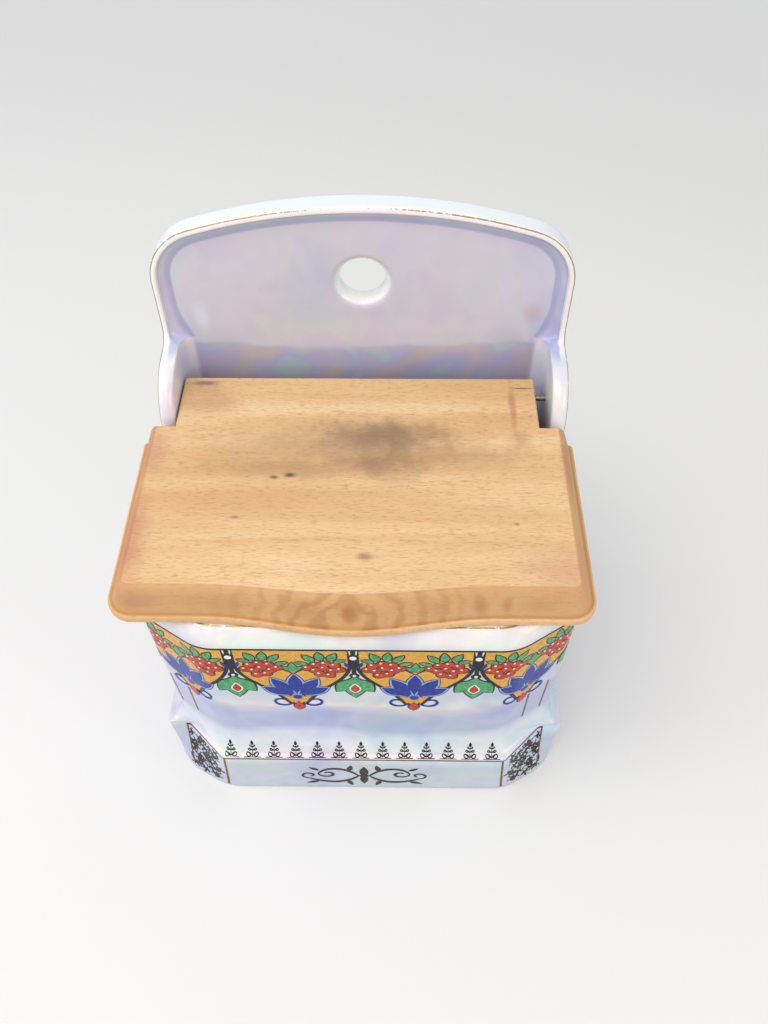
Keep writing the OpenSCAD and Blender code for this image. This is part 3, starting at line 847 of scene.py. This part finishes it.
# Brushed lines: gold-brown round the plinth's panels and down the canted corners, and liquid gold along the
# front edge of the back plate, the cheeks and the mouth. Fingers have worn the gold away where it is handled.
LINE_V = 25.7
brown = enamel("gold-brown lining colour", "#8A6230", "#5E4023")
panel_ends = [stroke([(PLINTH_FLAT - 0.4, LINE_V), (PLINTH_FLAT + 1, 1.8)], 0.75)]
panel_ends.append(stroke([(72.1, LINE_V), (72.1, 3)], 0.6))
panel_lines = [stroke([(-72.5, LINE_V), (72.5, LINE_V)], 0.75), *flipped(panel_ends)]
corner_lines = [stroke([(60.6, 62), (60.9, 43.6)], 1.1, 0.3), stroke([(68.6, 64), (68.5, 43.8)], 1, 0.3)]
fired_on("plinth_lines", [(flat_sheet("lines", panel_lines), plinth_place)], brown, 0.1, low_cuts)
fired_on("corner_lines", [(flat_sheet("lines", flipped(corner_lines)), frieze_place)], brown, 0.06, wall_cuts)

gilt, tree, shader, place = new_finish("worn liquid gold")
axes = node(tree, "ShaderNodeSeparateXYZ", {"Vector": place}).outputs
limit = span(tree, calc(tree, "ABSOLUTE", axes["X"]), 0.006, 0.036, 0.6, 0.37)
rubbed = noise(tree, place, 700, 4, 0.7)
kept = span(tree, calc(tree, "SUBTRACT", rubbed, limit), -0.03, 0.04)
gold, sheen = blend(tree, kept, "#ECEAF0", "#B08A48"), calc(tree, "MULTIPLY", kept, 0.6)
feed(tree, shader, {"Base Color": gold, "Metallic": sheen, "Roughness": 0.32})


# The line lies between these angles of the rounded front edge, and stands proud of it and is rooted in it.
GILT_ON_RIM, GILT_ON_CHEEK, GILT_PROUD, GILT_ROOT = (34, 54), (12, 24), 0.06, 0.04


def gilt_section(depth, _):
    """A thin closed section over part of the rounded front edge."""
    k, reach, drop = front_edge(depth)
    start, end = mix_corners(GILT_ON_RIM, GILT_ON_CHEEK, k)
    top, base = [], []
    for i in range(6):
        a = math.radians(mix(start, end, i / 5))
        on_edge = Vector((reach * (1 - math.cos(a)), depth - drop * (1 - math.sin(a))))
        out = Vector((-math.cos(a), math.sin(a)))
        top.append(on_edge + out * GILT_PROUD)
        base.append(on_edge - out * GILT_ROOT)
    return top + base[::-1]


def gilded(piece):
    smooth(piece, 50)
    piece.data.materials.append(gilt)
    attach(piece, "box")


gilded(skin("gold_on_back_plate_and_cheeks", swept(edge_stations()[2:], gilt_section)))
mouth = []
for a in (70, 76):
    line = rim_level(math.sin(math.radians(a)), 1 - math.cos(math.radians(a)))
    mouth.append([p for p in line if p.y < -PIN_Y - EAR_R - 2])
proud, sunk = Vector((0, -0.03, 0.06)), Vector((0, 0.03, -0.06))
gilded(skin("gold_on_mouth", [[a + proud, b + proud, b + sunk, a + sunk] for a, b in zip(*mouth)]))


# Lid
# A beech board cut with its grain across the box. A tongue reaches back between the cheeks, and the other
# three edges have a moulding run with a cutter: a hollow, a small step and a rounded lip.
LID_T, AXIS_DROP, LID_X, TONGUE_END, TONGUE_X = 12, 5, 73, 4.5, 60.6
LID_SHIFT, EAR_GAP, LIP_REACH, FRONT_BOW, INNER_BOW = -1.8, 1.6, 1.4, 4.4, 3
MOULD_W, MOULD_H, STEP_W, LID_CORNER_R, REST_GAP, BOW_X = 6.5, 9, 1.4, 8, 0.25, 44
RIM_Y = WELL_D - SHOULDER_IN
rest_run, rest_fall = RIM_Y - PIN_Y, PIN_Z - RIM_Z - REST_GAP
LID_TILT = math.atan2(rest_fall, rest_run) - math.asin((LID_T - AXIS_DROP) / math.hypot(rest_run, rest_fall))
BOARD_FRONT = (RIM_Y + LIP_REACH - PIN_Y) / math.cos(LID_TILT)
BOARD_REAR = EAR_R + EAR_GAP


def bow_at(x, bow):
    """How far the bowed front reaches past its ends."""
    return bow * math.cos(math.radians(90 * x / BOW_X)) ** 2 if abs(x) < BOW_X else 0


def lid_level(inset, bow, ease, z):
    """One level of the lid: tongue, shoulder, side, corner and bowed front; ease draws the sawn edges in."""
    x, y, r = LID_X - inset, BOARD_FRONT - inset, max(0.5, LID_CORNER_R - inset)
    tongue, end, rear = TONGUE_X - ease, TONGUE_END - ease, BOARD_REAR + ease
    half = [(tongue - 0.6, end), (tongue - 0.18, end - 0.18), (tongue, end - 0.6)]
    half += [(tongue, -rear), (x - 0.7, -rear), (x - 0.2, -rear - 0.2), (x, -rear - 0.7)]
    for i in range(13):
        a = math.radians(90 * i / 12)
        half.append((x - r + r * math.cos(a), -(y - r + r * math.sin(a))))
    for i in range(1, 33):
        px = (x - r) * (1 - i / 32)
        half.append((px, -(y + bow_at(px, bow))))
    points = [Vector((*p, z)) for p in half]
    return points + [Vector((-p.x, p.y, p.z)) for p in reversed(points[:-1])]


# The moulding's curve from its inner line to the step, as inset and depth.
MOULD_STEPS = 20
hollow = ((MOULD_W, 0), (0.55 * MOULD_W, 0), (0.52 * MOULD_W, 0.6 * MOULD_H), (STEP_W, MOULD_H))
mould_curve = bezier(*hollow, MOULD_STEPS)
LIP_R, SAWN_EASE = 0.9, 0.5
under, step_z = AXIS_DROP - LID_T, AXIS_DROP - MOULD_H
rows = [lid_level(LIP_R, FRONT_BOW, SAWN_EASE, under)]
for s, c in quarter(5):
    rows.append(lid_level(LIP_R * (1 - s), FRONT_BOW, max(0, SAWN_EASE * (1 - 2 * s)), under + LIP_R * c))
for s, c in [(0, 0), *quarter(5)]:
    rows.append(lid_level(LIP_R * c, FRONT_BOW, 0, step_z - LIP_R * (1 - s)))
lip_top = len(rows) - 1
for i in range(MOULD_STEPS, -1, -1):
    inset, depth = mould_curve[i]
    bow = mix(INNER_BOW, FRONT_BOW, i / MOULD_STEPS)
    rows.append(lid_level(inset, bow, max(0, SAWN_EASE - depth), AXIS_DROP - depth))
tilt = Matrix.Rotation(LID_TILT, 3, "X")
rest_place = Vector((LID_SHIFT, -PIN_Y, PIN_Z))
board = skin("beech_lid", [[rest_place + tilt @ p for p in row] for row in rows])
smooth(board, 30)
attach(board, "lid")
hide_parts("lid")

# How much of the cutter's darker, burnished surface and of painted shade is at each point: none on the face
# and the underside, little on the lip, and most in the line between the lip and the hollow, where the
# crease's shade is painted.
cut = board.data.attributes.new("moulding_tone_and_shade", "FLOAT", "POINT")
per_row = len(rows[0])
for i, stored in enumerate(cut.data):
    row, p = i // per_row, rows[i // per_row][i % per_row]
    if row in (0, len(rows) - 1) or (abs(p.x) <= TONGUE_X + 4 and p.y >= -BOARD_FRONT + 14):
        stored.value = 0
    elif row < lip_top:
        stored.value = 0.35
    else:
        stored.value = 1.5 if row <= lip_top + 1 else 1


def stretched(tree, place, scale, offset=(0, 0, 0)):
    """The place scaled along each axis and then moved, so that a pattern is drawn out in it."""
    inputs = {"Vector": place, "Location": offset, "Scale": scale}
    return node(tree, "ShaderNodeMapping", inputs).outputs["Vector"]


# Beech, sawn and sanded, oiled only by hands and salt. Short dark ray flecks 1 to 2 mm long lie along the
# grain, growth rings arch where the cutter went through them, and damp and iron have left stains.
beech, tree, shader, place = new_finish("sanded beech, stained by use")
long_grain = stretched(tree, place, (0.1, 1, 1))
band_hues = [(0.3, "#DDAF7A"), (0.5, "#E9C08C"), (0.7, "#F1CF9F")]
wood = ramp(tree, noise(tree, long_grain, 95, 3, 0.5, 0.4), band_hues)
wood = blend(tree, span(tree, noise(tree, long_grain, 1900), 0.35, 0.7, 0, 0.22), wood, "#CB9A66")
flecks = noise(tree, stretched(tree, place, (0.15, 1, 1)), 2700, 1)
fleck_mask = span(tree, flecks, 0.55, 0.7, 0, 0.42)
wood = blend(tree, fleck_mask, wood, "#A9764A")
moulding_tone_and_shade = node(tree, "ShaderNodeAttribute", {}, attribute_name="moulding_tone_and_shade").outputs["Fac"]
# The moulding's darker tone is partly its burnished end grain and partly painted shade, strongest in the
# crease by the lip.
moulding_burnish_and_shade = calc(tree, "MULTIPLY", moulding_tone_and_shade, 0.72)
wood = blend(tree, moulding_burnish_and_shade, wood, "#C8935A")
ring_place = stretched(tree, place, (0.8, 1, 1), (0.0016, 0.046, -0.109))
wave = {"Vector": ring_place, "Scale": 74, "Distortion": 7, "Detail": 3, "Detail Scale": 1.6}
kind = {"wave_type": "RINGS", "rings_direction": "SPHERICAL"}
rings = node(tree, "ShaderNodeTexWave", wave, **kind).outputs["Fac"]
across = node(tree, "ShaderNodeSeparateXYZ", {"Vector": ring_place}).outputs["X"]
in_reach = span(tree, calc(tree, "ABSOLUTE", across), 0.036, 0.01)
ring_part = calc(tree, "MULTIPLY", in_reach, moulding_burnish_and_shade)
ring_mask = calc(tree, "MULTIPLY", ring_part, span(tree, rings, 0.4, 1, 0, 0.5))
wood = blend(tree, ring_mask, wood, "#9E6128")
smear = noise(tree, place, 130, 4, 0.62)

# Place and reach of each stain along x and y, then its colour and how strong it is. The first group lies on
# the face of the board and the second on the moulding round it.
FACE_Z, MOULDING_Y, MOULDING_Z = 123.5, -52, 117
for x, y, wide, deep, tone, strength in (
    (-12, 8, 56, 17, "#B08A62", 0.42), (4, 12, 36, 14, "#84695A", 0.42), (8, 14, 24, 9, "#5F4A42", 0.42),
    (28, 5, 38, 8, "#AE865E", 0.4), (-20, -1, 44, 5, "#A98259", 0.38), (8, 0, 17, 8, "#8C6C54", 0.45),
    (-22.4, -3.1, 2.6, 1.4, "#3F3230", 0.85), (-27.3, -4, 2, 1, "#574640", 0.75),
    (2.3, -34.5, 3.4, 1.7, "#6F5E50", 0.6), (-55, 38.3, 8, 1.9, "#5F5670", 0.75),
    (-52, 29, 15, 10, "#C48A60", 0.5), (50.5, 27, 1.7, 15, "#B4664A", 0.55),
    (52, 12, 5, 7, "#BE7C58", 0.45), (-69, -30, 8, 24, "#B4655C", 0.5), (-68, 6, 9, 16, "#BC7568", 0.4),
    (64, -38, 20, 13, "#C88672", 0.4), (67, 2, 3.5, 22, "#A9685C", 0.45),
    (-38, -20, 1.8, 0.9, "#7A5040", 0.55), (48, -22, 1.4, 0.9, "#5F4438", 0.55),
    (54.6, 36.4, 5.4, 0.32, "#241812", 0.95),
):
    wood = stained(tree, place, smear, wood, (x, y, FACE_Z), (wide, deep, 9), tone, strength)
for x, wide, tone, strength in (
    (-66, 14, "#A9625A", 0.4), (-40, 16, "#B9803F", 0.35), (-16, 9, "#A8703A", 0.35),
    (-2, 3.6, "#9C5E24", 0.6), (24, 5, "#A8703A", 0.3), (36, 3.4, "#A4602A", 0.6),
    (44, 2.4, "#A4602A", 0.55), (53, 9, "#B67C40", 0.35),
):
    centre, reach = (x, MOULDING_Y, MOULDING_Z), (wide, 14, 4.5)
    wood = stained(tree, place, smear, wood, centre, reach, tone, strength)
grain = bumped(tree, fleck_mask, 0.35, 0.0001, True)
feed(tree, shader, {"Base Color": wood, "Roughness": span(tree, smear, 0, 1, 0.44, 0.66), "Normal": grain})
board.data.materials.append(beech)


# Pins
# Two pieces of headless steel wire, 2 mm thick, pushed through the cheeks into the ends of the tongue. They
# have dulled to grey-brown in the damp.
wire, tree, shader, place = new_finish("dull drawn steel wire")
tarnish = [(0.35, "#7A736B"), (0.55, "#A29C94"), (0.7, "#7B4A2B")]
hue = ramp(tree, noise(tree, place, 900, 3), tarnish)
feed(tree, shader, {"Base Color": hue, "Metallic": 0.9, "Roughness": 0.42})
for name in ("hinge_pin_left", "hinge_pin_right"):
    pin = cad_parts[name]
    pin.data.materials.clear()
    pin.data.materials.append(wire)


# Studio
# A pale floor under soft light from above and from windows on both sides, and the camera in the place from
# which the photo was taken.
BACKDROP, BACKDROP_STRENGTH = "#F7F8FA", 0.84


def seen(tree):
    """1 for rays that look at a surface, also in a mirror or through glass, and 0 for those that light it."""
    rays = node(tree, "ShaderNodeLightPath", {}).outputs
    straight = calc(tree, "MAXIMUM", rays["Is Camera Ray"], rays["Is Glossy Ray"])
    return calc(tree, "MAXIMUM", straight, rays["Is Transmission Ray"])


floor_mesh = bpy.data.meshes.new("floor")
floor_mesh.from_pydata([(-3, -3, 0), (3, -3, 0), (3, 3, 0), (-3, 3, 0)], [], [(0, 1, 2, 3)])
floor = put("floor", floor_mesh)
matte, tree, shader, place = new_finish("pale matt paper")
feed(tree, shader, {"Base Color": srgb("#F0EFED"), "Roughness": 0.8})
floor.data.materials.append(matte)
# To the eye the paper fades into the white behind it from half a metre out, so that no horizon shows.
distance = node(tree, "ShaderNodeVectorMath", {0: place}, operation="LENGTH").outputs["Value"]
faded = calc(tree, "MULTIPLY", span(tree, distance, 0.45, 1.3), seen(tree))
glow = node(tree, "ShaderNodeEmission", {"Color": srgb(BACKDROP), "Strength": BACKDROP_STRENGTH}).outputs[0]
seamless = node(tree, "ShaderNodeMixShader", {0: faded, 1: shader.outputs[0], 2: glow}).outputs[0]
feed(tree, tree.nodes["Material Output"], {"Surface": seamless})

world = bpy.data.worlds.new("soft daylight")
bpy.context.scene.world = world
world.use_nodes = True
sky = world.node_tree
strength = span(sky, seen(sky), 0, 1, 0.62, BACKDROP_STRENGTH)
feed(sky, sky.nodes["Background"], {"Color": srgb(BACKDROP), "Strength": strength})


def window(name, place, aim, size, power, colour):
    """A soft rectangular light that faces a point."""
    lamp = bpy.data.lights.new(name, "AREA")
    lamp.shape = "RECTANGLE"
    lamp.size, lamp.size_y = size
    lamp.energy = power
    lamp.color = srgb(colour)[:3]
    held = put(name, lamp)
    held.location = place
    held.rotation_euler = (Vector(aim) - Vector(place)).to_track_quat("-Z", "Y").to_euler()


window("window above", (-0.25, -0.35, 0.95), (0, 0, 0.08), (0.9, 0.6), 4.4, "#FFFDFA")
window("window left", (-0.8, -0.1, 0.5), (0, 0, 0.08), (0.5, 0.7), 1.9, "#F2F6FF")
window("window right", (0.75, -0.45, 0.45), (0, 0, 0.08), (0.4, 0.6), 1.4, "#FFFFFF")

# The pose is fitted to the photo's edges: focal length in pixels of its width, and angles in degrees.
FOCAL, PHOTO_WIDTH, SENSOR, YAW, LOOK_DOWN, ROLL = 879.2, 768, 36, 1.16, 50.3, -0.52
camera = put("camera", bpy.data.cameras.new("camera"))
camera.data.sensor_fit = "HORIZONTAL"
camera.data.sensor_width = SENSOR
camera.data.lens = FOCAL / PHOTO_WIDTH * SENSOR
camera.data.clip_start = 0.01
camera.location = (0.01115, -0.19022, 0.3306)
turned = Matrix.Rotation(math.radians(YAW), 4, "Z") @ Matrix.Rotation(math.radians(90 - LOOK_DOWN), 4, "X")
camera.rotation_euler = (turned @ Matrix.Rotation(math.radians(ROLL), 4, "Z")).to_euler()
bpy.context.scene.camera = camera
bpy.context.scene.view_settings.view_transform = "Standard"
